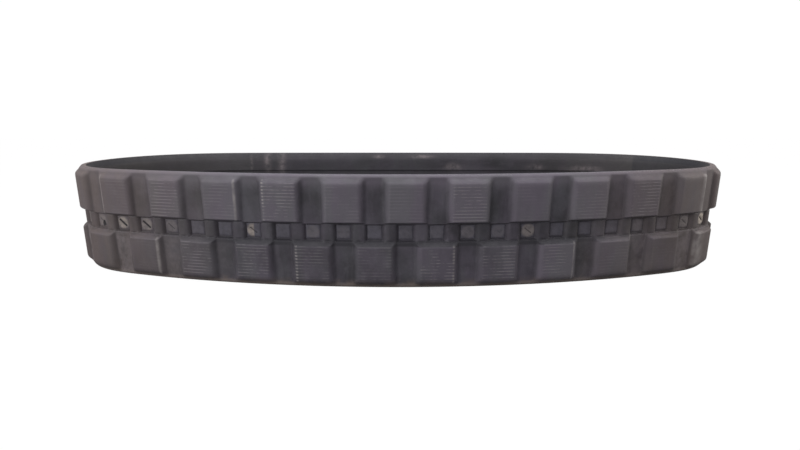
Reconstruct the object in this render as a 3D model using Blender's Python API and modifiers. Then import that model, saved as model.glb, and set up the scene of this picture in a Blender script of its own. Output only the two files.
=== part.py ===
"""Endless rubber crawler track, standing on one edge.

The track is a closed band of rubber, moulded round a row of steel cores and two belts of steel cord.
Each core sits in the rubber crosswise, with two guide horns that stand up on the inner side and a bar
between two drive windows that the sprocket's teeth push on. The cord belts run right round the loop,
outside the cores, one on each side of the windows. Rubber lugs stand on the outer side in two rows,
and a lug of one row stands where the other row has a gap.

The band is drawn flat first, two links long, then repeated and wrapped round the loop. X runs along the
flat band, -Y is its outer side and Z is its width. On the loop +X runs along the near long side, +Z is up,
and the origin is on the floor under the middle of the loop.
"""

import math

import bmesh
import bpy
import numpy as np
from mathutils import Matrix, Vector

# Loop: number of links, distance from one drive window to the next along the cords, and belt width.
LINK_COUNT = 56
LINK_PITCH = 0.086
BELT_WIDTH = 0.320

# Shape of the standing loop, whose near side bulges and whose far side stands almost straight. Each side is
# given for a quarter of the loop, from the side's middle to the loop's end: its bend at the middle as a share
# of the bend at the end, and where along the quarter the bend starts to rise and is full.
NEAR_BEND_SHARE = 0.083
NEAR_START_SHARE = 0.654
NEAR_FULL_SHARE = 0.841
FAR_BEND_SHARE = 0.011
FAR_START_SHARE = 0.358
FAR_FULL_SHARE = 0.884
WINDOW_OFFSET = 0.0228
QUARTER_STEPS = 1500

# Room between pieces that the real track has bonded to each other.
CLEARANCE = 0.0003

# Tread rubber, as distances outwards from its inner face.
TREAD_BASE = 0.014
RIM_EDGE = 0.009
RIM_CHAMFER = 0.006

# Lugs. Each is centred on a drive window and reaches over the cores on both sides of it.
LUG_HEIGHT = 0.0145
LUG_FACE_LENGTH = 0.0965
LUG_DRAFT = 0.011
LUG_RIM_FLARE = 0.005
LUG_INNER_EDGE = 0.033
LUG_INNER_DRAFT = 0.007
LUG_SHOULDER = 0.019
LUG_RIM_INSET = 0.0025
LUG_ROOT = 0.008

# Drive windows. A thin web of rubber closes each one until the sprocket breaks it out.
WINDOW_LENGTH = 0.049
WINDOW_WIDTH = 0.047
WINDOW_DRAFT = 0.003
WEB_DEPTH = 0.007
WEB_THICKNESS = 0.0025
FLEX_MARGIN = 0.001

# Inner rubber, as distances inwards from the tread rubber's inner face.
PATH_DEPTH = 0.014
PATH_HALF_WIDTH = 0.138
INNER_RIM_DEPTH = 0.004
INNER_WINDOW_LENGTH = 0.040
INNER_WINDOW_WIDTH = 0.038
INNER_WINDOW_DRAFT = 0.003

# Cord belts, as distances from the middle of the belt's width.
CORD_INNER_EDGE = 0.032
CORD_OUTER_EDGE = 0.108
CORD_THICKNESS = 0.003

# Steel cores. Depths are measured inwards from the tread rubber's inner face.
CORE_LENGTH = 0.240
CORE_WIDTH = 0.031
CORE_TIP_WIDTH = 0.023
WING_DEPTH = 0.008
HORN_LANE = 0.056
HORN_BASE = 0.024
HORN_TIP = 0.012
HORN_TIP_LENGTH = 0.016
HORN_DEPTH = 0.050
HORN_LEAN = 0.004

MIDDLE = BELT_WIDTH / 2
UNIT_LENGTH = 2 * LINK_PITCH
FLEX_LENGTH = WINDOW_LENGTH + 2 * FLEX_MARGIN
REACH = 0.002
SAME_POINT = 1e-6
FLAT_ANGLE = 1e-3


def collection(name):
    """A new collection in the scene."""
    made = bpy.data.collections.new(name)
    bpy.context.scene.collection.children.link(made)
    return made


def material(name, colour, roughness, metallic):
    """A plain material for one kind of sub-part."""
    made = bpy.data.materials.new(name)
    made.use_nodes = True
    shader = made.node_tree.nodes["Principled BSDF"]
    shader.inputs["Base Color"].default_value = (*colour, 1)
    shader.inputs["Roughness"].default_value = roughness
    shader.inputs["Metallic"].default_value = metallic
    return made


def object_from(name, form, home):
    """An object with the faces of a bmesh, which it frees."""
    mesh = bpy.data.meshes.new(name)
    bmesh.ops.recalc_face_normals(form, faces=form.faces)
    form.to_mesh(mesh)
    form.free()
    made = bpy.data.objects.new(name, mesh)
    home.objects.link(made)
    return made


def prism(outline, start, end):
    """A bar along X from start to end whose section is an outline of (outward, height) points."""
    form = bmesh.new()
    corners = [form.verts.new((start, -outward, height)) for outward, height in outline]
    face = form.faces.new(corners)
    grown = bmesh.ops.extrude_face_region(form, geom=[face])
    moved = [item for item in grown["geom"] if isinstance(item, bmesh.types.BMVert)]
    bmesh.ops.translate(form, vec=(end - start, 0, 0), verts=moved)
    return form


def frustum(centre, outer_size, inner_size, outer, inner, lean=0):
    """A block whose length and height change evenly from its outer side to its inner side.

    centre is its (along, height) place, and lean moves the inner side's middle in height.
    """
    form = bmesh.new()
    bmesh.ops.create_cube(form, size=1)
    for vert in form.verts:
        at_outer = vert.co.y < 0
        length, height = outer_size if at_outer else inner_size
        vert.co.x = centre[0] + vert.co.x * length
        vert.co.z = centre[1] + vert.co.z * height + (0 if at_outer else lean)
        vert.co.y = -outer if at_outer else -inner
    return form


def combine(target, tool, operation):
    """Adds a Boolean to an object. A tool is a cutter or a form to join, and isn't part of the track."""
    tool.hide_render = True
    tool.display_type = "WIRE"
    modifier = target.modifiers.new(tool.name, "BOOLEAN")
    modifier.operation = operation
    modifier.solver = "EXACT"
    modifier.object = tool


def applied(source):
    """A new mesh of the object as its modifiers leave it."""
    bpy.context.view_layer.update()
    graph = bpy.context.evaluated_depsgraph_get()
    return bpy.data.meshes.new_from_object(source.evaluated_get(graph))


def mirrored(outline):
    """A section that is the same on both sides of the belt's middle, from points of its upper half."""
    lower = [(outward, BELT_WIDTH - height) for outward, height in reversed(outline)]
    return outline + lower


def tread_outline():
    """Section of the tread rubber away from its lugs and windows, with a groove for each cord belt."""
    groove_start = MIDDLE + CORD_INNER_EDGE - CLEARANCE
    groove_end = MIDDLE + CORD_OUTER_EDGE + CLEARANCE
    groove_depth = CORD_THICKNESS + CLEARANCE
    upper = [
        (0, groove_start),
        (groove_depth, groove_start),
        (groove_depth, groove_end),
        (0, groove_end),
        (0, BELT_WIDTH),
        (RIM_EDGE, BELT_WIDTH),
        (TREAD_BASE, BELT_WIDTH - RIM_CHAMFER),
    ]
    return mirrored(upper)


def inner_outline():
    """Section of the inner rubber away from its windows and cores, thin at the rims and thick under the rollers."""
    upper = [
        (-PATH_DEPTH, MIDDLE + PATH_HALF_WIDTH),
        (-INNER_RIM_DEPTH, BELT_WIDTH),
        (-CLEARANCE, BELT_WIDTH),
    ]
    return mirrored(upper)


def cord_outline(side):
    """Section of one cord belt, side 1 above the windows and -1 below them."""
    near_edge = MIDDLE + side * CORD_INNER_EDGE
    far_edge = MIDDLE + side * CORD_OUTER_EDGE
    return [(0, near_edge), (CORD_THICKNESS, near_edge), (CORD_THICKNESS, far_edge), (0, far_edge)]


def lug(along, side):
    """A lug over the window at along, side 1 in the upper row and -1 in the lower.

    Its ends and inner wall slope, and its outer end falls in a shoulder to the rim, where it is widest.
    """
    spread = (LUG_HEIGHT + LUG_ROOT) / LUG_HEIGHT
    form = bmesh.new()
    bmesh.ops.create_cube(form, size=1)
    for vert in form.verts:
        at_face = vert.co.y < 0
        at_rim = vert.co.z > 0
        half_length = LUG_FACE_LENGTH / 2
        height = MIDDLE - LUG_SHOULDER if at_rim else LUG_INNER_EDGE
        if not at_face:
            half_length += LUG_DRAFT * spread + (LUG_RIM_FLARE if at_rim else 0)
            height = MIDDLE - LUG_RIM_INSET if at_rim else LUG_INNER_EDGE - LUG_INNER_DRAFT * spread
        vert.co.x = along + math.copysign(half_length, vert.co.x)
        vert.co.y = -(TREAD_BASE + (LUG_HEIGHT if at_face else -LUG_ROOT))
        vert.co.z = MIDDLE + side * height
    bmesh.ops.triangulate(form, faces=form.faces)
    return form


def window_pocket(along):
    """The space of a drive window on the outer side, from past the tread's base down to the web."""
    grown = 2 * WINDOW_DRAFT * REACH / WEB_DEPTH
    mouth = (WINDOW_LENGTH + grown, WINDOW_WIDTH + grown)
    floor = (WINDOW_LENGTH - 2 * WINDOW_DRAFT, WINDOW_WIDTH - 2 * WINDOW_DRAFT)
    return frustum((along, MIDDLE), mouth, floor, TREAD_BASE + REACH, TREAD_BASE - WEB_DEPTH)


def inner_window(along, outer):
    """The space of a drive window on the inner side, from outer to past the rollers' path."""
    grown = 2 * INNER_WINDOW_DRAFT * (1 + REACH / PATH_DEPTH)
    throat = (INNER_WINDOW_LENGTH, INNER_WINDOW_WIDTH)
    mouth = (INNER_WINDOW_LENGTH + grown, INNER_WINDOW_WIDTH + grown)
    return frustum((along, MIDDLE), throat, mouth, outer, -PATH_DEPTH - REACH)


def core_form(along, room, outer):
    """A steel core with room added all round it, from outer inwards.

    Its section along the belt's width has two wings, a horn at the root of each and the bar between the
    horns. The wings narrow towards their tips and the horns towards theirs.
    """
    root = -WING_DEPTH - room
    tip = -HORN_DEPTH - room
    lane = HORN_LANE / 2
    tip_middle = lane + HORN_BASE / 2 + HORN_LEAN
    half = [
        (outer, lane + HORN_BASE + room, CORE_WIDTH),
        (outer, CORE_LENGTH / 2 + room, CORE_TIP_WIDTH),
        (root, CORE_LENGTH / 2 + room, CORE_TIP_WIDTH),
        (root, lane + HORN_BASE + room, CORE_WIDTH),
        (tip, tip_middle + HORN_TIP / 2 + room, HORN_TIP_LENGTH),
        (tip, tip_middle - HORN_TIP / 2 - room, HORN_TIP_LENGTH),
        (root, lane - room, CORE_WIDTH),
    ]
    form = bmesh.new()
    ends = {}
    for side in (1, -1):
        for corner, (outward, height, width) in enumerate(half):
            for end in (-1, 1):
                place = (along + end * (width / 2 + room), -outward, MIDDLE + side * height)
                ends[side, corner, end] = form.verts.new(place)
    patches = [[(side, corner) for corner in piece] for side in (1, -1) for piece in ((0, 1, 2, 3), (3, 4, 5, 6))]
    patches.append([(1, 0), (1, 3), (1, 6), (-1, 6), (-1, 3), (-1, 0)])
    for patch in patches:
        for end in (-1, 1):
            form.faces.new([ends[side, corner, end] for side, corner in patch])
    rim = [(1, corner) for corner in range(7)] + [(-1, corner) for corner in reversed(range(7))]
    for first, second in zip(rim, rim[1:] + rim[:1]):
        form.faces.new([ends[*first, -1], ends[*second, -1], ends[*second, 1], ends[*first, 1]])
    return form


def cut_open(form, start, end):
    """Cuts a form off at start and end along X, leaving both ends open so that copies join there."""
    for place, outward in ((start, -1), (end, 1)):
        everything = form.verts[:] + form.edges[:] + form.faces[:]
        bmesh.ops.bisect_plane(
            form,
            geom=everything,
            dist=SAME_POINT,
            plane_co=(place, 0, 0),
            plane_no=(outward, 0, 0),
            clear_outer=True,
        )


def score(form, places):
    """Adds an edge all round a form at each place along X, where the band bends."""
    for place in places:
        everything = form.verts[:] + form.edges[:] + form.faces[:]
        bmesh.ops.bisect_plane(
            form, geom=everything, dist=SAME_POINT, plane_co=(place, 0, 0), plane_no=(1, 0, 0)
        )


def quarter_of_loop(side_share, start_share, full_share):
    """Points of a quarter of the loop, one metre long, from the middle of a long side at (0, 0) to the end.

    The bend is gentle along the side, then rises smoothly to the tighter bend of the end.
    """
    shares = np.linspace(0, 1, QUARTER_STEPS + 1)
    rise = np.clip((shares - start_share) / (full_share - start_share), 0, 1)
    bend = side_share + (1 - side_share) * rise * rise * (3 - 2 * rise)
    between = (bend[1:] + bend[:-1]) / 2
    heading = np.concatenate([[0], np.cumsum(between)])
    heading *= math.pi / 2 / heading[-1]
    halfway = (heading[1:] + heading[:-1]) / 2
    along = np.concatenate([[0], np.cumsum(np.cos(halfway))]) / QUARTER_STEPS
    across = np.concatenate([[0], np.cumsum(np.sin(halfway))]) / QUARTER_STEPS
    return along, across


class Loop:
    """The line of the cords seen from above, and the flat facets that the band is bent into.

    A facet holds either a window or a core. The band bends only at the edges between facets.
    """

    def __init__(self):
        near = quarter_of_loop(NEAR_BEND_SHARE, NEAR_START_SHARE, NEAR_FULL_SHARE)
        far = quarter_of_loop(FAR_BEND_SHARE, FAR_START_SHARE, FAR_FULL_SHARE)
        self.half_length = LINK_COUNT * LINK_PITCH / 2
        self.near_length = self.half_length * far[0][-1] / (near[0][-1] + far[0][-1])
        self.near = [line * self.near_length for line in near]
        self.far = [line * (self.half_length - self.near_length) for line in far]
        self.half_depth = (self.near[1][-1] + self.far[1][-1]) / 2
        places = []
        for window in range(LINK_COUNT):
            middle = WINDOW_OFFSET + window * LINK_PITCH
            places.append(middle - FLEX_LENGTH / 2)
            places.append(middle + FLEX_LENGTH / 2)
        self.corners = [self.point(place) for place in places]

    def point(self, distance):
        """The point of the loop at a distance from the middle of the near side, towards +X."""
        travelled = distance % (2 * self.half_length)
        right = travelled <= self.half_length
        if not right:
            travelled = 2 * self.half_length - travelled
        near = travelled <= self.near_length
        line, length = (self.near, self.near_length) if near else (self.far, self.half_length - self.near_length)
        share = (travelled if near else self.half_length - travelled) / length
        steps = np.linspace(0, 1, QUARTER_STEPS + 1)
        along = float(np.interp(share, steps, line[0]))
        across = self.half_depth - float(np.interp(share, steps, line[1]))
        return Vector((along if right else -along, -across if near else across, 0))

    def facet(self, number):
        """Middle, direction and outward normal of a facet: even numbers hold windows, odd ones cores."""
        first = self.corners[number % len(self.corners)]
        second = self.corners[(number + 1) % len(self.corners)]
        direction = (second - first).normalized()
        return (first + second) / 2, direction, Vector((direction.y, -direction.x, 0))

    def place(self, flat):
        """The place on the loop of a point of the flat band."""
        window = math.floor((flat.x + FLEX_LENGTH / 2 + SAME_POINT) / LINK_PITCH)
        within = flat.x - window * LINK_PITCH
        outward = -flat.y - CORD_THICKNESS / 2
        for corner, edge in enumerate((-FLEX_LENGTH / 2, FLEX_LENGTH / 2)):
            if abs(within - edge) < 10 * SAME_POINT:
                number = 2 * window + corner
                before = self.facet(number - 1)[2]
                after = self.facet(number)[2]
                mitre = (before + after) / (1 + before.dot(after))
                found = self.corners[number % len(self.corners)] + mitre * outward
                return Vector((found.x, found.y, flat.z))
        number = 2 * window
        if within > FLEX_LENGTH / 2:
            number += 1
            within -= LINK_PITCH / 2
        middle, direction, normal = self.facet(number)
        found = middle + direction * within + normal * outward
        return Vector((found.x, found.y, flat.z))


def wrapped(name, unit, loop, home, finish):
    """Repeats an open unit of two links right round the loop and joins its ends."""
    repeat = unit.modifiers.new("links", "ARRAY")
    repeat.count = LINK_COUNT // 2
    repeat.use_relative_offset = False
    repeat.use_constant_offset = True
    repeat.constant_offset_displace = (UNIT_LENGTH, 0, 0)
    repeat.use_merge_vertices = True
    repeat.merge_threshold = 10 * SAME_POINT
    mesh = applied(unit)
    bpy.data.objects.remove(unit)
    form = bmesh.new()
    form.from_mesh(mesh)
    bpy.data.meshes.remove(mesh)
    for vert in form.verts:
        vert.co = loop.place(vert.co)
    bmesh.ops.remove_doubles(form, verts=form.verts, dist=10 * SAME_POINT)
    made = object_from(name, form, home)
    made.data.materials.append(finish)
    return made


def unit_block(name, outline, home):
    """A bar of the band's section, a little over two links long, with an edge round it where a unit ends."""
    form = prism(outline, 0, UNIT_LENGTH + FLEX_LENGTH)
    score(form, [FLEX_LENGTH / 2, FLEX_LENGTH / 2 + UNIT_LENGTH])
    return object_from(name, form, home)


def opened_unit(name, whole, home):
    """A unit of two links with open ends, triangulated and scored where the band bends."""
    mesh = applied(whole)
    form = bmesh.new()
    form.from_mesh(mesh)
    start = FLEX_LENGTH / 2
    cut_open(form, start, start + UNIT_LENGTH)
    bmesh.ops.dissolve_limit(form, angle_limit=FLAT_ANGLE, verts=form.verts, edges=form.edges)
    score(form, [LINK_PITCH - start, LINK_PITCH + start, UNIT_LENGTH - start])
    bmesh.ops.triangulate(form, faces=form.faces)
    return object_from(name, form, home)


def make_tread(loop, home, shapes, finish):
    """The outer band of rubber with its lugs, webs and ribs, and a pocket over the bar of each core."""
    whole = unit_block("tread_unit", tread_outline(), shapes)
    for number in range(4):
        side = -1 if number % 2 else 1
        combine(whole, object_from("lug_form", lug(number * LINK_PITCH, side), shapes), "UNION")
    for place in (0, LINK_PITCH, UNIT_LENGTH):
        combine(whole, object_from("window_cutter", window_pocket(place), shapes), "DIFFERENCE")
        web_inner = TREAD_BASE - WEB_DEPTH - WEB_THICKNESS
        combine(whole, object_from("inner_cutter", inner_window(place, web_inner), shapes), "DIFFERENCE")
    unit = opened_unit("tread_links", whole, shapes)
    return wrapped("tread_rubber", unit, loop, home, finish)


def make_inner(loop, home, shapes, finish):
    """The inner band of rubber, with its windows and a bed and two horn openings for each core."""
    whole = unit_block("inner_unit", inner_outline(), shapes)
    for place in (0, LINK_PITCH, UNIT_LENGTH):
        combine(whole, object_from("inner_cutter", inner_window(place, REACH), shapes), "DIFFERENCE")
    for place in (LINK_PITCH / 2, LINK_PITCH * 3 / 2):
        combine(whole, object_from("bed_cutter", core_form(place, CLEARANCE, REACH), shapes), "DIFFERENCE")
    unit = opened_unit("inner_links", whole, shapes)
    return wrapped("inner_rubber", unit, loop, home, finish)


def make_cord_belt(name, side, loop, home, shapes, finish):
    """One belt of parallel steel cords, which keeps the track's length."""
    whole = unit_block("cord_unit", cord_outline(side), shapes)
    unit = opened_unit("cord_links", whole, shapes)
    return wrapped(name, unit, loop, home, finish)


def make_cores(loop, home, shapes, finish):
    """The row of forged steel cores, one between each two windows. They share one mesh."""
    mesh = object_from("core_form", core_form(0, 0, -CLEARANCE), shapes).data
    mesh.materials.append(finish)
    for number in range(LINK_COUNT):
        middle, direction, normal = loop.facet(2 * number + 1)
        core = bpy.data.objects.new(f"core_{number + 1:02d}", mesh)
        place = middle - normal * (CORD_THICKNESS / 2)
        turn = Matrix((direction, -normal, (0, 0, 1))).transposed().to_4x4()
        core.matrix_world = Matrix.Translation(place) @ turn
        home.objects.link(core)


def main():
    """Clears the scene and builds the track."""
    for old in list(bpy.data.objects):
        bpy.data.objects.remove(old)
    home = collection("rubber_track")
    shapes = collection("shapes")
    loop = Loop()
    tread_finish = material("tread_rubber", (0.085, 0.078, 0.084), 0.78, 0)
    inner_finish = material("inner_rubber", (0.055, 0.052, 0.056), 0.7, 0)
    cord_finish = material("steel_cord", (0.45, 0.42, 0.36), 0.4, 1)
    core_finish = material("forged_steel", (0.16, 0.15, 0.15), 0.5, 1)
    make_tread(loop, home, shapes, tread_finish)
    make_inner(loop, home, shapes, inner_finish)
    make_cord_belt("upper_cord_belt", 1, loop, home, shapes, cord_finish)
    make_cord_belt("lower_cord_belt", -1, loop, home, shapes, cord_finish)
    make_cores(loop, home, shapes, core_finish)
    for helper in shapes.objects:
        helper.hide_render = True
        helper.display_type = "WIRE"


main()
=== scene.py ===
"""Looks of the rubber crawler track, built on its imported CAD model.

The tread and the inner rubber are modelled again here in fine detail, as sheets of moulded rubber whose
height over the line of the cords is worked out point by point. The cores and the cord belts keep their CAD
solids. Lengths are in metres. Along the band, s runs round the loop from the middle of its near side
towards +X.
"""

import math

import bpy
import numpy as np
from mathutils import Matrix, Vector


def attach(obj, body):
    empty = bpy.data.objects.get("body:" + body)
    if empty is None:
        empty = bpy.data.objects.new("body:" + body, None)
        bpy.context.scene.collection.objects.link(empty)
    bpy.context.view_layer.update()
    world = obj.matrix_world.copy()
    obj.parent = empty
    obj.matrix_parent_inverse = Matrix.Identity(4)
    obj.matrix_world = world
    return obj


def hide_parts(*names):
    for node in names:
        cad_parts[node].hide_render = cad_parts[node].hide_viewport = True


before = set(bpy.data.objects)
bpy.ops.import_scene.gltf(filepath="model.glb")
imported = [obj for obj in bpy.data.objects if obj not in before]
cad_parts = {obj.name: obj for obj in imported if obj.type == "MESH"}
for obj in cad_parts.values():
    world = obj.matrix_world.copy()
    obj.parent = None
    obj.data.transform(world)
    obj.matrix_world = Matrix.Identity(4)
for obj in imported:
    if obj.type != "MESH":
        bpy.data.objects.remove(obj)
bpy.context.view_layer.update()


# Camera. It stands in front of the near side, a little above the track, and looks slightly down.

SENSOR_MM = 36
FOCAL_SHARE = 473.9 / 800  # the focal length over the picture's width
camera = bpy.data.objects.new("camera", bpy.data.cameras.new("camera"))
camera.data.sensor_width = SENSOR_MM
camera.data.lens = FOCAL_SHARE * SENSOR_MM
camera.location = (0.0065, -1.6302, 0.4828)
camera.rotation_euler = (math.radians(76.64), 0, 0)
bpy.context.scene.collection.objects.link(camera)
bpy.context.scene.camera = camera
bpy.context.scene.view_settings.view_transform = "Standard"


# Light. A broad lamp overhead, a softer one in front and a warm one at each end, in a bright room.

def area_light(name, place, target, size, power, colour=(1, 1, 1)):
    """Adds a soft lamp at place that points at target."""
    lamp = bpy.data.lights.new(name, "AREA")
    lamp.shape = "RECTANGLE"
    lamp.size, lamp.size_y = size
    lamp.energy = power
    lamp.color = colour
    made = bpy.data.objects.new(name, lamp)
    made.location = place
    made.rotation_euler = (Vector(target) - Vector(place)).to_track_quat("-Z", "Y").to_euler()
    bpy.context.scene.collection.objects.link(made)


WARM = (1.0, 0.96, 0.9)
area_light("overhead_lamp", (0, -0.35, 3.2), (0, 0, 0), (4.5, 2.0), 156)
area_light("front_lamp", (-3.2, -3.4, 1.5), (0, 0, 0.15), (2.0, 1.4), 98)
area_light("left_lamp", (-3.6, -0.3, 0.9), (-0.8, 0, 0.15), (1.4, 1.2), 7, WARM)
area_light("right_lamp", (3.4, -0.2, 0.9), (0.8, 0, 0.15), (1.0, 1.2), 26, WARM)


def node(tree, kind, inputs=(), output=0, **settings):
    """Adds a shader node with its settings, links or sets its inputs, and returns one of its outputs."""
    made = tree.nodes.new("ShaderNode" + kind)
    for name, value in settings.items():
        setattr(made, name, value)
    for name, value in dict(inputs).items():
        if isinstance(value, bpy.types.NodeSocket):
            tree.links.new(value, made.inputs[name])
        else:
            made.inputs[name].default_value = value
    return made.outputs[output] if made.outputs else None


world = bpy.data.worlds.new("studio")
world.use_nodes = True
bpy.context.scene.world = world
tree = world.node_tree
tree.nodes.clear()
camera_ray = node(tree, "LightPath", output="Is Camera Ray")
seen = node(tree, "Background", {"Color": (1, 0.997, 1, 1), "Strength": 1.02})
room = node(tree, "Background", {"Color": (0.96, 0.97, 1.0, 1), "Strength": 0.5})
both = node(tree, "MixShader", {0: camera_ray, 1: room, 2: seen})
node(tree, "OutputWorld", {"Surface": both})


# Floor. A plain pale floor that the camera sees as white, with hardly any shadow.

floor_paint = bpy.data.materials.new("floor_pale_paint")
floor_paint.use_nodes = True
tree = floor_paint.node_tree
tree.nodes.clear()
camera_ray = node(tree, "LightPath", output="Is Camera Ray")
matt = node(tree, "BsdfDiffuse", {"Color": (0.2, 0.2, 0.2, 1)})
glow = node(tree, "Emission", {"Color": (1, 0.997, 1, 1), "Strength": 1.04})
share = node(tree, "Math", {0: camera_ray, 1: 0.96}, operation="MULTIPLY")
both = node(tree, "MixShader", {0: share, 1: matt, 2: glow})
node(tree, "OutputMaterial", {"Surface": both})
bpy.ops.mesh.primitive_plane_add(size=16, location=(0, 0, -0.001))
floor = bpy.context.object
floor.name = "floor"
floor.data.materials.append(floor_paint)


# Tread rubber: the outer band of black rubber, moulded in one round the cores and the cord belts, gone grey
# with dust and worn on its faces and edges, with fine ridges across the lugs. It is laid out flat and put on
# a loop, the line of the cords, with a bulged near side and an almost straight far side.

LINKS = 56
PITCH = 0.086
WIDTH = 0.320
OFFSET = 0.0228  # where the middle of link 0 lies along the band
MIDDLE = WIDTH / 2
LENGTH = LINKS * PITCH
CORD_CENTRE = 0.0015  # the cords' centres, over their inner face


def ramp(value, start, end):
    """Values from 0 at start to 1 at end, and held there."""
    return np.clip((value - start) / (end - start), 0, 1)


def quarter_of_loop(side_share, start_share, full_share, steps=1500):
    """Places, points and headings of a quarter of the loop, one metre long, from a long side's middle.

    The side's bend, as a share of the end's bend, holds up to start_share and is full at full_share.
    """
    shares = np.linspace(0, 1, steps + 1)
    rise = ramp(shares, start_share, full_share)
    bend = side_share + (1 - side_share) * rise * rise * (3 - 2 * rise)
    heading = np.concatenate([[0], np.cumsum((bend[1:] + bend[:-1]) / 2)])
    heading *= math.pi / 2 / heading[-1]
    halfway = (heading[1:] + heading[:-1]) / 2
    along = np.concatenate([[0], np.cumsum(np.cos(halfway))]) / steps
    across = np.concatenate([[0], np.cumsum(np.sin(halfway))]) / steps
    return shares, along, across, heading


NEAR = quarter_of_loop(0.083, 0.654, 0.841)
FAR = quarter_of_loop(0.011, 0.358, 0.884)
NEAR_LENGTH = LENGTH / 2 * FAR[1][-1] / (NEAR[1][-1] + FAR[1][-1])
FAR_LENGTH = LENGTH / 2 - NEAR_LENGTH
HALF_DEPTH = (NEAR[2][-1] * NEAR_LENGTH + FAR[2][-1] * FAR_LENGTH) / 2


def on_loop(s, outward, z):
    """Points of the loop for arrays of places along it, outward distances and heights.

    The outward distances are from the inner face of the cords.
    """
    travelled = s % LENGTH
    right = travelled <= LENGTH / 2
    travelled = np.where(right, travelled, LENGTH - travelled)
    near = travelled <= NEAR_LENGTH
    share = np.where(near, travelled / NEAR_LENGTH, (LENGTH / 2 - travelled) / FAR_LENGTH)
    along, across, turn = (
        np.where(near, np.interp(share, NEAR[0], NEAR[row]), np.interp(share, FAR[0], FAR[row]))
        for row in (1, 2, 3)
    )
    x = along * np.where(near, NEAR_LENGTH, FAR_LENGTH)
    y = np.where(near, across * NEAR_LENGTH - HALF_DEPTH, HALF_DEPTH - across * FAR_LENGTH)
    reach = outward - CORD_CENTRE
    x = x + np.sin(turn) * reach
    y = y + np.where(near, -1, 1) * np.cos(turn) * reach
    return np.stack([np.where(right, x, -x), y, z + 0 * s], axis=-1)


def grid_object(name, s, z, outward, round_loop, material, layers=()):
    """A smooth sheet of quads through a grid of points, joined right round the loop or open at both ends.

    layers are named values, one for each point.
    """
    count, across = s.shape
    first = np.arange(count)[:, None] * across
    second = (np.arange(1, count + 1) % count)[:, None] * across
    if not round_loop:
        first, second = first[:-1], second[:-1]
    low = np.arange(across - 1)[None, :]
    quads = np.stack([first + low, second + low, second + low + 1, first + low + 1], axis=-1).reshape(-1, 4)
    mesh = bpy.data.meshes.new(name)
    mesh.vertices.add(s.size)
    mesh.vertices.foreach_set("co", on_loop(s, outward, z).astype(np.float32).ravel())
    mesh.loops.add(quads.size)
    mesh.loops.foreach_set("vertex_index", quads.ravel().astype(np.int32))
    mesh.polygons.add(len(quads))
    mesh.polygons.foreach_set("loop_start", np.arange(0, quads.size, 4, dtype=np.int32))
    mesh.polygons.foreach_set("use_smooth", np.ones(len(quads), dtype=bool))
    mesh.update(calc_edges=True)
    for label, value in dict(layers).items():
        layer = mesh.attributes.new(label, "FLOAT", "POINT")
        layer.data.foreach_set("value", np.asarray(value, dtype=np.float32).ravel())
    mesh.validate()
    made = bpy.data.objects.new(name, mesh)
    bpy.context.scene.collection.objects.link(made)
    mesh.materials.append(material)
    return made


def soft_max(first, second, reach):
    """The larger of two heights, rounded where they cross."""
    share = np.clip(0.5 + 0.5 * (first - second) / reach, 0, 1)
    return second + (first - second) * share + reach * share * (1 - share)


def soft_min(first, second, reach):
    """The smaller of two heights, rounded where they cross."""
    return -soft_max(-first, -second, reach)


BAND = 0.014  # height of the band between the lugs
FACE = 0.0281  # height of the lugs' faces
CREST = 0.0285  # height that a lug's walls are drawn from, a little over its face
WALL_FOOT = 0.006  # height that the end and rim walls are drawn down to, inside the band
LUG_HALF = 0.04825  # half the length of a lug at its crest
END_RUN = 0.011  # how far an end wall leans out from the crest to the band
END_FLARE = 0.005  # how much more it leans out at the rim than at the windows
RIM_WALL = (0.141, 0.0165)  # where the rim wall starts, from the middle line, and how far it leans out
INNER_FOOT = 0.0265  # where a lug's inner wall meets the band, from the middle line
WINDOW_FLOOR = 0.0044  # height that the windows reach down to, under their webs
WINDOW_HALF = 0.0205  # half the length of a window at its floor
RIB_CREST = 0.0018  # how far the rib between two windows stands over the band
RIB_FALL = 0.0062  # how far the rib falls away from its crest
RIB_REACH = 0.0225  # and over what length
EDGE_RADIUS = 0.0015  # rounding of the band's two edges


def nearest_lug(s, z):
    """Distance along the band from the middle of the row's nearest lug, and that lug's number.

    The upper row's lugs have even numbers and the lower row's have odd ones, one pitch further on.
    """
    upper = z > MIDDLE
    phase = np.where(upper, 0.0, PITCH)
    number = np.round((s - OFFSET - phase) / (2 * PITCH))
    away = np.abs(s - OFFSET - phase - number * 2 * PITCH)
    return away, (2 * number % LINKS + np.where(upper, 0, 1)).astype(int)


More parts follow.
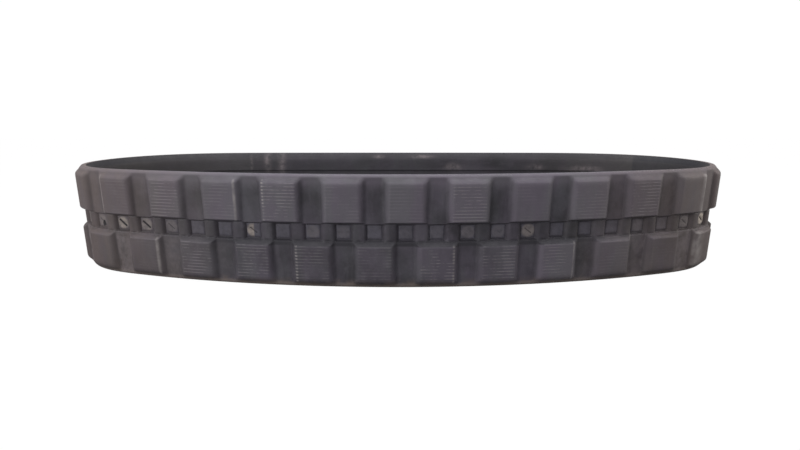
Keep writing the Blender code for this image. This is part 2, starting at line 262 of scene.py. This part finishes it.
def tread_height(s, z):
    """Outward distance of the tread's surface from the cords' inner face.

    The last value of each soft_min and soft_max is how widely the edge between two surfaces is rounded.
    """
    to_edge = np.minimum(z, WIDTH - z)
    from_middle = np.abs(z - MIDDLE)
    lower = z < MIDDLE
    base = soft_min(0.009 + to_edge * 5 / 6, BAND + 0 * z, 0.002)

    # A lug: a flat face inside four walls. The lower row slopes wider towards the windows.
    from_lug, _ = nearest_lug(s, z)
    drop = CREST - WALL_FOOT
    flare = END_FLARE * ramp(from_middle, 0.022, 0.1575)
    end_wall = CREST - (from_lug - LUG_HALF) * drop / (END_RUN * drop / (CREST - BAND) + flare)
    rim_wall = CREST - (from_middle - RIM_WALL[0]) * drop / RIM_WALL[1]
    face_start = np.where(lower, 0.0385, 0.031)
    inner_wall = CREST - (face_start - from_middle) * (CREST - BAND) / (face_start - INNER_FOOT)
    lug = soft_min(soft_min(FACE + 0 * s, end_wall, 0.009), rim_wall, 0.013)
    lug = soft_min(lug, inner_wall, 0.0035)
    surface = soft_max(base, lug, 0.006)

    # The window row: a rib between each two windows, and the windows, with their walls leaning outwards. The
    # lower wall is 3 mm further from the middle line than the upper one.
    along = s - OFFSET - np.round((s - OFFSET) / PITCH) * PITCH
    from_rib = np.minimum(np.abs(np.abs(along) - PITCH / 2) / RIB_REACH, 1)
    surface = surface + (RIB_CREST - RIB_FALL * from_rib ** 2.2) * ramp(from_middle, 0.0245, 0.0205)
    window_edge = np.where(lower, 0.0230, 0.0198)
    beside, above = (np.abs(along) - WINDOW_HALF) * 1.5, (from_middle - window_edge) * 3
    wall = WINDOW_FLOOR + soft_max(beside, above, 0.003)
    window = soft_max(WINDOW_FLOOR + 0 * s, wall, 0.001)
    surface = soft_min(surface, window, 0.006)

    rounding = ramp(to_edge, EDGE_RADIUS, 0)
    return surface - EDGE_RADIUS * (1 - np.sqrt(1 - rounding ** 2))


def spaced(start, end, step):
    """Places from start towards end, about a step apart, leaving out the end."""
    count = max(1, round((end - start) / step))
    return list(np.linspace(start, end, count, endpoint=False))


def both_halves(half):
    """Heights of a whole sheet's rows from those of its lower half."""
    return np.array(half + [MIDDLE] + [WIDTH - value for value in reversed(half)])


def convexity(height, s, z, outward, reach, full):
    """How far a surface stands out from its surroundings, from -1 in a hollow to 1 on an edge."""
    around = 0
    for ds, dz in ((reach, 0), (-reach, 0), (0, reach), (0, -reach)):
        around = around + height(s + ds, np.clip(z + dz, 0, WIDTH)) / 4
    return np.clip((outward - around) / full, -1, 1)


def linear(code):
    """Linear colour of an sRGB hex code, with full alpha."""
    parts = [int(code[i:i + 2], 16) / 255 for i in (0, 2, 4)]
    return (*(c / 12.92 if c < 0.04045 else ((c + 0.055) / 1.055) ** 2.4 for c in parts), 1)


RIDGE_SPACING = 0.0092  # of the fine ridges across a lug's face


def rubber(name, base_hex, dust_hex, dark_hex, soil_hex, streak_stretch, rim_from, rim_dust):
    """Moulded rubber, black with carbon: a dull skin from the mould, which dust turns grey in the light.

    Dust lies in stains, patches and streaks, thickest on the lugs' faces and the upper rim, and the faces are
    paler the higher they stand. Edges are worn pale, and soil clings to the ends and the foot. Hollows and
    creases are painted dark as shade, some lugs carry a painted glint at an end, and the foot, partly soiled,
    and the floors at the ends are painted paler as light. Where the mesh says so it has fine ridges, plain on
    some lugs and worn away on others. Its IOR is the default, which suits rubber.
    """
    made = bpy.data.materials.new(name)
    made.use_nodes = True
    tree = made.node_tree
    shader = tree.nodes["Principled BSDF"]
    place = node(tree, "TexCoord", output="Object")
    sideways = node(tree, "SeparateXYZ", {"Vector": place}, "X")
    high = node(tree, "SeparateXYZ", {"Vector": place}, "Z")
    edge, height, ridges, painted_glint, dotted, hollow, scuff_and_painted_light, dusted = (
        node(tree, "Attribute", output="Fac", attribute_name=layer)
        for layer in ("edge", "height", "ridges", "painted_glint", "dotted", "hollow", "scuff_and_painted_light", "dusted")
    )
    stains, patches, grain, ridge_wear, painted_glint_breaks = (
        node(tree, "TexNoise", {"Vector": place, "Scale": scale, "Detail": detail, "Roughness": roughness})
        for scale, detail, roughness in (
            (7.0, 5.0, 0.62),  # stains, 140 mm wide
            (38.0, 5.0, 0.65),  # patches of dust, 26 mm
            (420.0, 4.0, 0.6),  # grain of the mould, finer than 1 mm, drawn 2.4 mm wide to show
            (17.0, 4.0, 0.7),  # places where the ridges are worn away, 60 mm
            (24.0, 3.0, 0.6),  # breaks in the painted glints, 40 mm
        )
    )
    streaks, hues = (
        node(tree, "TexNoise", {
            "Vector": node(tree, "Mapping", {"Vector": place, "Scale": stretch}),
            "Scale": scale, "Detail": detail, "Roughness": roughness,
        })
        for scale, detail, roughness, stretch in (
            (26.0, 5.0, 0.6, streak_stretch),  # streaks, 38 mm wide and drawn out by the stretch
            (14.0, 3.0, 0.5, (1, 1, 0.35)),  # warmer and cooler places, 70 mm wide and 200 mm tall
        )
    )

    # Shares of the dust, the soil and the wear, of the faces' paler tone higher up, of painted shade and of
    # painted light.
    on_faces = node(tree, "MapRange", {"Value": height, 1: 0.016, 2: 0.028})
    # The faces take more of the dust colour the higher they stand, from 0.2 of it below 0.13 m to 0.62 above
    # 0.2 m.
    by_height = node(tree, "MapRange", {"Value": high, 1: 0.13, 2: 0.2, 3: 0.2, 4: 0.62})
    face_dust_paler_higher_up = node(tree, "Math", {0: on_faces, 1: by_height}, operation="MULTIPLY")
    dusty_streaks = node(tree, "MapRange", {"Value": streaks, 1: 0.5, 2: 0.74, 4: 0.35})
    dusty_patches = node(tree, "MapRange", {"Value": patches, 1: 0.55, 2: 0.8, 4: 0.4})
    dusty_rim = node(tree, "MapRange", {"Value": high, 1: rim_from, 2: 0.3197, 4: rim_dust})
    from_centre = node(tree, "Math", {0: sideways}, operation="ABSOLUTE")
    at_ends = node(tree, "MapRange", {"Value": from_centre, 1: 0.45, 2: 1.0, 4: 0.9})
    broken = node(tree, "MapRange", {"Value": streaks, 1: 0.3, 2: 0.7, 3: 0.55})
    soiled_ends = node(tree, "Math", {0: at_ends, 1: broken}, operation="MULTIPLY")
    at_foot = node(tree, "MapRange", {"Value": high, 1: 0.030, 2: 0.004, 4: 0.9})
    broken = node(tree, "MapRange", {"Value": patches, 1: 0.4, 2: 0.6})
    soiled_foot = node(tree, "Math", {0: at_foot, 1: broken}, operation="MULTIPLY")
    soiled = node(tree, "Math", {0: soiled_ends, 1: soiled_foot}, operation="MAXIMUM")
    # The foot is paler, partly soil and partly painted light that lifts its shaded underside.
    pale_foot_soil_and_light = node(tree, "MapRange", {"Value": high, 1: 0.017, 2: 0.003, 4: 0.55})
    stands_out = node(tree, "Math", {0: edge, 1: 0.0}, operation="MAXIMUM")
    broken = node(tree, "MapRange", {"Value": patches, 1: 0.4, 2: 0.65, 3: 0.05, 4: 0.3})
    worn = node(tree, "Math", {0: stands_out, 1: broken}, operation="MULTIPLY")
    # Where the edge layer is negative, in creases and hollows, the colour is painted darker as shade.
    lies_in = node(tree, "Math", {0: edge, 1: -1.0}, operation="MULTIPLY")
    lies_in = node(tree, "Math", {0: lies_in, 1: 0.0}, operation="MAXIMUM")
    painted_crease_shade = node(tree, "Math", {0: lies_in, 1: 0.32}, operation="MULTIPLY")
    # painted shade: the hollow layer darkens the colour where shade falls
    shaded = node(tree, "Math", {0: hollow, 1: 0.6}, operation="MULTIPLY")
    broken = node(tree, "MapRange", {"Value": patches, 1: 0.35, 2: 0.6})
    scuffed_and_painted_light = node(tree, "Math", {0: scuff_and_painted_light, 1: broken}, operation="MULTIPLY")

    # The ridges, and the painted glints, painted highlights at the ends of some lugs, dotted where ridges
    # cross them.
    turns = node(tree, "Math", {0: high, 1: 2 * math.pi / RIDGE_SPACING}, operation="MULTIPLY")
    wave = node(tree, "Math", {0: turns}, operation="SINE")
    tops = node(tree, "MapRange", {"Value": wave, 1: 0.2, 2: 0.95})
    kept = node(tree, "MapRange", {"Value": ridge_wear, 1: 0.44, 2: 0.58})
    kept = node(tree, "Math", {0: ridges, 1: kept}, operation="MULTIPLY")
    ridged = node(tree, "Math", {0: tops, 1: kept}, operation="MULTIPLY")
    pale_ridges = node(tree, "Math", {0: ridged, 1: 0.33}, operation="MULTIPLY")
    valleys = node(tree, "MapRange", {"Value": wave, 1: -0.3, 2: 0.5, 3: 1.0, 4: 0.0})
    gaps = node(tree, "Math", {0: dotted, 1: valleys}, operation="MULTIPLY")
    whole = node(tree, "Math", {0: 1.0, 1: gaps}, operation="SUBTRACT")
    painted_shine = node(tree, "Math", {0: painted_glint, 1: whole}, operation="MULTIPLY")
    broken = node(tree, "MapRange", {"Value": painted_glint_breaks, 1: 0.36, 2: 0.62, 3: 0.1, 4: 0.5})
    painted_shine = node(tree, "Math", {0: painted_shine, 1: broken}, operation="MULTIPLY")

    # The colours, laid over each other in this order, each by its share.
    ground = node(tree, "MapRange", {"Value": stains, 1: 0.36, 2: 0.62})
    warmer = node(tree, "MapRange", {"Value": hues, 1: 0.42, 2: 0.58})
    tints = node(tree, "Mix", {0: warmer, 6: linear("4d4b4e"), 7: linear("554b57")}, 2, data_type="RGBA")
    colour = linear(dark_hex)
    for share, over, blend in (
        (ground, linear(base_hex), "MIX"),
        (face_dust_paler_higher_up, linear(dust_hex), "MIX"),
        (dusty_streaks, linear(dust_hex), "MIX"),
        (dusty_patches, linear(dust_hex), "MIX"),
        (dusted, linear(dust_hex), "MIX"),
        (0.4, tints, "COLOR"),
        (dusty_rim, linear(dust_hex), "MIX"),
        (soiled, linear(soil_hex), "MIX"),
        (pale_foot_soil_and_light, linear("83776f"), "MIX"),
        (worn, linear(dust_hex), "MIX"),
        # painted shade in creases
        (painted_crease_shade, linear(dark_hex), "MIX"),
        # painted shade, from the hollow layer
        (shaded, linear(dark_hex), "MIX"),
        # on the tread, painted light on the floors at the ends; on the inner rubber, pale scuffs
        (scuffed_and_painted_light, linear("746b6d"), "MIX"),
        (pale_ridges, linear("8f8a8a"), "MIX"),
        # painted highlight: the glints at the ends of some lugs
        (painted_shine, linear("9d9794"), "MIX"),
    ):
        colour = node(tree, "Mix", {0: share, 6: colour, 7: over}, 2, data_type="RGBA", blend_type=blend)
    roughness = node(tree, "MapRange", {"Value": patches, 1: 0.3, 2: 0.7, 3: 0.6, 4: 0.8})

    # The relief: grain, patches of dust and the ridges, 0.7 mm high at most.
    relief = node(tree, "Math", {0: grain, 1: 0.35}, operation="MULTIPLY")
    relief = node(tree, "Math", {
        0: relief, 1: node(tree, "Math", {0: patches, 1: 0.8}, operation="MULTIPLY"),
    }, operation="ADD")
    relief = node(tree, "Math", {0: relief, 1: ridged}, operation="ADD")
    bump = node(tree, "Bump", {"Strength": 0.6, "Distance": 0.0007, "Height": relief})
    tree.links.new(colour, shader.inputs["Base Color"])
    tree.links.new(roughness, shader.inputs["Roughness"])
    tree.links.new(bump, shader.inputs["Normal"])
    shader.inputs["Specular IOR Level"].default_value = 0.45
    return made


# Which lugs show their ridges and how strongly. The other lugs draw theirs at random.
RIDGED_LUGS = {
    45: 0.0, 46: 0.25, 47: 0.15, 48: 0.8, 49: 0.75, 50: 0.35, 51: 0.8, 52: 0.9, 53: 0.5, 54: 0.35, 55: 0.4,
    0: 0.25, 1: 1.0, 2: 0.8, 3: 0.9, 4: 0.2, 5: 0.6, 6: 0.4, 7: 0.25, 8: 0.8, 9: 0.1, 10: 0.0, 11: 0.0,
}
# Lugs with a painted glint, a painted highlight, at an end: at the left (-1) or the right (1), how far
# dotted, and how wide.
PAINTED_GLINTS = {
    53: (-1, 1.0, 0.0055), 1: (1, 0.7, 0.0045), 52: (-1, 1.0, 0.0045), 50: (1, 0.0, 0.005),
    47: (1, 0.0, 0.006), 5: (1, 0.2, 0.003), 46: (-1, 0.0, 0.003), 10: (1, 0.0, 0.017),
    11: (-1, 0.0, 0.042),
}
# Lugs that lie under more dust than the others, and how much.
DUSTY_LUGS = {5: 0.7, 7: 0.45, 3: 0.12, 2: 0.3, 6: 0.5}
FACE_END = 0.0455  # where a lug's face turns into its end wall, from the lug's middle


def lug_marks(s, z, outward):
    """Layers of the tread: ridges on the lugs' faces, painted glints (painted highlights) at their ends and
    where dust lies thick.
    """
    ridged = np.random.default_rng(4).random(LINKS) ** 2
    for lug, strength in RIDGED_LUGS.items():
        ridged[lug] = strength
    away, number = nearest_lug(s, z)
    face = ramp(outward, 0.0265, 0.0277)
    lug_middle = number * PITCH + OFFSET
    right = np.round((s - lug_middle) / LENGTH) * LENGTH + lug_middle < s
    side, dotted, reach = np.zeros(LINKS), np.zeros(LINKS), np.ones(LINKS)
    for lug, values in PAINTED_GLINTS.items():
        side[lug], dotted[lug], reach[lug] = values
    at_end = np.clip(1.3 - 1.3 * np.abs(away - FACE_END) / reach[number], 0, 1)
    at_end = at_end * (np.where(right, 1, -1) == side[number])
    dust = np.zeros(LINKS)
    for lug, share in DUSTY_LUGS.items():
        dust[lug] = share
    lug_dust = dust[number] * ramp(away, 0.060, 0.052) * ramp(np.abs(z - MIDDLE), 0.028, 0.038)
    rim_dust = 0.75 * ramp(z, 0.268, 0.302) ** 1.5 * ramp(outward, 0.021, 0.013)
    return {
        "ridges": ridged[number] * face,
        "painted_glint": at_end * ramp(outward, 0.020, 0.024),
        "dotted": dotted[number],
        "dusted": np.maximum(lug_dust, rim_dust),
    }


COLUMN_STEP = 0.0016
EDGE_REACH, EDGE_FULL = 0.004, 0.0012  # an edge is worn within 4 mm, and fully where it stands out 1.2 mm
steps = round(LENGTH / COLUMN_STEP)
columns = np.arange(steps) * LENGTH / steps
rows = both_halves(
    [0.0, 0.0004, 0.0009, 0.0015, 0.003, 0.005]
    + spaced(0.007, 0.024, 0.0015)
    + spaced(0.024, 0.115, 0.007)
    + spaced(0.115, 0.148, 0.0014)
    + spaced(0.148, 0.160, 0.003)
)
s, z = np.meshgrid(columns, rows, indexing="ij")
outward = tread_height(s, z)
from_middle = np.abs(z - MIDDLE)
tread_rubber = rubber(
    "moulded_tread_rubber", "434049", "5c5760", "29272d", "584c47", (1, 1, 0.16), 0.315, 0.6
)
at_ends = ramp(np.abs(on_loop(s, outward, z)[..., 0]), 0.45, 1.0)
floors = ramp(outward, 0.0165, 0.0145)
edges = convexity(tread_height, s, z, outward, EDGE_REACH, EDGE_FULL)
hollows = -convexity(tread_height, s, z, outward, 0.012, 0.009)
# The hollow layer darkens the colour: painted shade in hollows within 12 mm, at the ends more on the walls
# than on the floors, and under the upper rim; it also darkens the lower row's slope by the windows.
under_rim = ramp(z, 0.297, 0.305) * ramp(z, 0.3185, 0.3145)
lower_slope = np.clip(1 - 2.2 * at_ends, 0, 1) * ramp(z, 0.1195, 0.1235) * ramp(z, 0.138, 0.134)
tread = grid_object("moulded_tread", s, z, outward, True, tread_rubber, {
    "edge": edges * np.where(from_middle < 0.024, 0.5, 1),
    "hollow": hollows * (0.2 + at_ends * (1.3 - 1.4 * floors)) + 0.3 * under_rim + 1.6 * lower_slope,
    # On the tread this layer is painted light: paler floors at the ends, more in the lower row.
    "scuff_and_painted_light": 0.7 * at_ends * floors * np.where(z < MIDDLE, 1, 0.3) * ramp(from_middle, 0.024, 0.034),
    "height": outward,
    **lug_marks(s, z, outward),
})
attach(tread, "root")
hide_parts("tread_rubber")


# Window webs: thin skins of the tread's rubber that close the drive windows, left by the mould, each with a
# slit across it where the sprocket will break it out. They are paler than the tread, some more than others,
# partly in colour and partly by a painted highlight.

WEB_HALF = (0.0204, 0.0198)  # half a web, along the band and up it
SLIT_EDGE = 0.0014  # over which a slit's side falls away
SLIT_DEPTH = 0.0026


def web_height(along, up, torn, hole):
    """Height of a web and how far it is cut: slit, torn wide by a share, with a hole at its lower right.

    hole is its radius, or 0 where there is none.
    """
    inside = np.minimum(WEB_HALF[0] - np.abs(along), WEB_HALF[1] - np.abs(up))
    panel = soft_min(0.0030 + 0 * along, 0.0012 + inside * 0.9, 0.003)
    slit = np.abs(along * 0.62 + up * 0.78) - 0.0002 - 0.0018 * torn
    ends = np.abs(along * 0.78 - up * 0.62) - 0.0110 - 0.003 * torn
    cut = ramp(np.maximum(slit, ends), SLIT_EDGE, 0) * min(1, 0.15 + 1.4 * torn)
    if hole:
        from_hole = np.hypot(along - 0.006, (up + 0.010) * 0.6)
        cut = np.maximum(cut, ramp(from_hole, hole + SLIT_EDGE, hole))
    return 0.0040 + panel - cut * SLIT_DEPTH, cut


# Torn rubber: matt and mottled, with blotches 14 mm wide. A whole web is as dark as the tread; others are
# pale in their middle, partly paler rubber and partly a painted highlight of light off the thin skin. Slits
# are almost black, since they let no light back.
web_rubber = bpy.data.materials.new("torn_web_rubber")
web_rubber.use_nodes = True
tree = web_rubber.node_tree
shader = tree.nodes["Principled BSDF"]
place = node(tree, "TexCoord", output="Object")
web_pale_and_highlight = node(tree, "Attribute", output="Fac", attribute_name="web_pale_and_highlight")
cut = node(tree, "Attribute", output="Fac", attribute_name="cut")
blotches = node(tree, "TexNoise", {"Vector": place, "Scale": 70.0, "Detail": 3.0, "Roughness": 0.55})
sideways = node(tree, "SeparateXYZ", {"Vector": place}, "X")
from_centre = node(tree, "Math", {0: sideways}, operation="ABSOLUTE")
far_out = node(tree, "MapRange", {"Value": from_centre, 1: 0.5, 2: 1.0, 4: 0.6})
dull = node(tree, "MapRange", {"Value": web_pale_and_highlight, 1: 1.0, 2: 0.1})
colour = linear("4d4a53")
for share, over in (
    # paler rubber and painted highlight, by the web's paleness
    (node(tree, "MapRange", {"Value": web_pale_and_highlight, 1: 0.1, 2: 1.0}), "7f7672"),
    (node(tree, "MapRange", {"Value": web_pale_and_highlight, 1: 1.0, 2: 1.6}), "b8aca0"),
    (node(tree, "MapRange", {"Value": blotches, 1: 0.42, 2: 0.66, 4: 0.5}), "37343a"),
    (node(tree, "Math", {0: far_out, 1: dull}, operation="MULTIPLY"), "685b57"),
    (node(tree, "MapRange", {"Value": cut, 1: 0.1, 2: 0.9}), "1d1b1e"),
):
    colour = node(tree, "Mix", {0: share, 6: colour, 7: linear(over)}, 2, data_type="RGBA")
bump = node(tree, "Bump", {"Strength": 0.4, "Distance": 0.001, "Height": blotches})
tree.links.new(colour, shader.inputs["Base Color"])
tree.links.new(bump, shader.inputs["Normal"])
shader.inputs["Roughness"].default_value = 0.75

# How pale each web of the near side is, in colour and painted highlight. The others draw theirs at random.
PALE_WEBS = {
    45: 0.6, 46: 1.1, 47: 0.9, 48: 0.4, 49: 0.0, 50: 0.1, 51: 1.1, 52: 0.1, 53: 0.25, 54: 0.2, 55: 0.1,
    0: 0.15, 1: 0.15, 2: 0.3, 3: 0.2, 4: 0.7, 5: 0.05, 6: 0.1, 7: 0.1, 8: 0.3, 9: 0.1, 10: 0.7, 11: 1.6,
}
TORN_WEBS = {45: 0.35, 46: 1.3, 47: 1.2, 48: 0.3, 51: 0.4, 4: 0.35, 10: 0.3, 11: 0.6}
HOLES = {45: 0.0062}
HALF_PALE = (51,)  # pale in its left half only
WEB_POINTS = 38
along = np.linspace(-0.0210, 0.0210, WEB_POINTS)  # a little past the window's walls, which hide the edge
up = np.linspace(-0.0204, 0.0204, WEB_POINTS)
along, up = np.meshgrid(along, up, indexing="ij")
spot = np.clip(1.9 - 1.5 * ((along / 0.0205) ** 2 + (up / 0.0198) ** 2), 0, 1)
paleness = np.random.default_rng(11).random(LINKS) ** 3 * 0.6
for number, pale in PALE_WEBS.items():
    paleness[number] = pale
for number, pale in enumerate(paleness):
    height, cut = web_height(along, up, TORN_WEBS.get(number, pale * 0.2), HOLES.get(number, 0))
    pale_side = np.where(number in HALF_PALE, np.clip(1 - along / 0.003, 0.1, 1), 1)
    web = grid_object(
        f"web_{number + 1:02d}", OFFSET + number * PITCH + along, MIDDLE + up, height, False, web_rubber,
        {"web_pale_and_highlight": pale * spot * pale_side, "cut": cut},
    )
    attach(web, "root")


# Inner rubber: the smooth side that the rollers run on, laid up apart and cured on to the tread, with
# windows, bevelled rims and a collar round each horn. Its colours are darker than the tread's, partly for
# less dust and partly as painted shade, since less light reaches it. It is scuffed pale in places.

ROLLER_FACE = -0.014  # height of the face that the rollers run on
COLLAR_TOP = -0.018
POCKET_FLOOR = 0.001


def inner_height(s, z):
    """Outward distance of the inner rubber's surface, which is negative."""
    to_edge = np.minimum(z, WIDTH - z)
    from_middle = np.abs(z - MIDDLE)
    surface = soft_max(-0.004 - to_edge * 0.010 / 0.022, ROLLER_FACE + 0 * z, 0.006)
    surface = surface + 0.003 * ramp(from_middle, 0.090, 0.087)
    along = s - OFFSET - np.round((s - OFFSET) / PITCH) * PITCH
    from_core = np.abs(np.abs(along) - PITCH / 2)
    collar = np.maximum(from_core - 0.0165, np.abs(from_middle - 0.040) - 0.013)
    surface = soft_min(surface, COLLAR_TOP + np.maximum(collar, 0) * 0.8, 0.002)
    wall = POCKET_FLOOR - soft_max(np.abs(along) - 0.020, from_middle - 0.019, 0.004) * 14 / 3
    pocket = soft_min(POCKET_FLOOR + 0 * s, wall, 0.002)
    return soft_max(surface, pocket, 0.003)


rows = both_halves(
    [0.0, 0.0006, 0.0016]
    + spaced(0.004, 0.028, 0.003)
    + spaced(0.028, 0.066, 0.009)
    + spaced(0.066, 0.075, 0.0015)
    + spaced(0.075, 0.102, 0.009)
    + spaced(0.102, 0.146, 0.0016)
    + spaced(0.146, 0.160, 0.0035)
)[::-1]
# Pale scuffs: place along the band, height, and reach along and up.
SCUFFS = [
    (2.948, 0.285, 0.013, 0.035), (2.890, 0.28, 0.014, 0.05), (3.015, 0.27, 0.005, 0.03),
    (2.49, 0.305, 0.02, 0.006), (2.31, 0.305, 0.04, 0.006), (2.18, 0.262, 0.03, 0.012),
    (1.84, 0.262, 0.03, 0.010), (1.64, 0.258, 0.06, 0.012),
]
s, z = np.meshgrid(columns, rows, indexing="ij")
outward = inner_height(s, z)
from_middle = np.abs(z - MIDDLE)
inner_rubber = rubber(
    "moulded_inner_rubber", "312f36", "4c4950", "242328", "3c3837", (0.2, 0.2, 1), 0.316, 0.3
)
scuffs = 0
for at, height, reach, tall in SCUFFS:
    scuffs = scuffs + 0.7 * np.exp(-((s - at) / reach) ** 2 - ((z - height) / tall) ** 2)
# Painted shade, in the hollow layer: a line and the lane between the rollers' faces, and the bevels. The same
# layer also darkens the right end and part of the far side.
lane = 0.25 * np.exp(-((from_middle - 0.0885) / 0.0025) ** 2) + 0.35 * ramp(from_middle, 0.0895, 0.0865)
bevels = 0.75 * ramp(from_middle, 0.138, 0.144)
right_end = 1.1 * ramp(s, 1.462, 1.456) * ramp(s, 1.1, 1.2)
far_side = 0.4 * ramp(s, 3.2, 3.4) * ramp(s, 3.7, 3.6)
inner = grid_object("moulded_inner", s, z, outward, True, inner_rubber, {
    "edge": -convexity(inner_height, s, z, outward, EDGE_REACH, EDGE_FULL),
    "scuff_and_painted_light": scuffs,
    "hollow": lane + bevels + right_end + far_side,
})
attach(inner, "root")
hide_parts("inner_rubber")


# Rims: the flat edges of the band between the tread and the inner rubber, of the tread's rubber, as the mould
# leaves them. Each is a flat strip round the loop.

RIM_OUTER, RIM_INNER = 0.0078, -0.0042
for label, height, depths in (
    ("upper_rim", WIDTH, (RIM_OUTER, RIM_INNER)),
    ("lower_rim", 0.0, (RIM_INNER, RIM_OUTER)),
):
    s, depth = np.meshgrid(columns, depths, indexing="ij")
    rim = grid_object(label, s, height + 0 * s, depth, True, tread_rubber)
    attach(rim, "root")


# Steel cores: forged steel bars with two guide horns each, bonded into the rubber, brown where the rubber has
# worn off. They keep their CAD solids, with the edges rounded as forging leaves them.

CORE_ROUNDING = 0.003

# Forged steel: scale and rust in blotches 17 mm wide dull it, so it is half metal and half oxide to the eye.
core_steel = bpy.data.materials.new("forged_core_steel")
core_steel.use_nodes = True
tree = core_steel.node_tree
shader = tree.nodes["Principled BSDF"]
place = node(tree, "TexCoord", output="Object")
rust = node(tree, "TexNoise", {"Vector": place, "Scale": 60.0, "Detail": 6.0, "Roughness": 0.6})
rusted = node(tree, "MapRange", {"Value": rust, 1: 0.35, 2: 0.7})
colour = node(tree, "Mix", {0: rusted, 6: linear("3a3230"), 7: linear("6e5c50")}, 2, data_type="RGBA")
tree.links.new(colour, shader.inputs["Base Color"])
shader.inputs["Metallic"].default_value = 0.6
shader.inputs["Roughness"].default_value = 0.55
for name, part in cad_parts.items():
    if name.startswith("core_"):
        part.data.materials.clear()
        part.data.materials.append(core_steel)
        rounded = part.modifiers.new("rounded", "BEVEL")
        rounded.width = CORE_ROUNDING
        rounded.segments = 3
        rounded.limit_method = "ANGLE"
        rounded.angle_limit = math.radians(30)


# Cord belts: parallel steel cords, hidden in the rubber, which run right round the loop above and below the
# windows. They keep their CAD solids.

# Drawn steel wire, brass-coated so that rubber bonds to it: bright and yellowish, with strands drawn 2 mm
# wide, coarser than the real wire, so that they show.
cord_steel = bpy.data.materials.new("brassed_steel_cord")
cord_steel.use_nodes = True
tree = cord_steel.node_tree
shader = tree.nodes["Principled BSDF"]
place = node(tree, "TexCoord", output="Object")
strands = node(tree, "TexNoise", {
    "Vector": node(tree, "Mapping", {"Vector": place, "Scale": (1, 1, 0.2)}),
    "Scale": 500.0, "Detail": 2.0, "Roughness": 0.5,
})
colour = node(tree, "Mix", {0: strands, 6: linear("8a7a5c"), 7: linear("a8956f")}, 2, data_type="RGBA")
tree.links.new(colour, shader.inputs["Base Color"])
shader.inputs["Metallic"].default_value = 1.0
shader.inputs["Roughness"].default_value = 0.4
for name in ("upper_cord_belt", "lower_cord_belt"):
    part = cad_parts[name]
    part.data.materials.clear()
    part.data.materials.append(cord_steel)
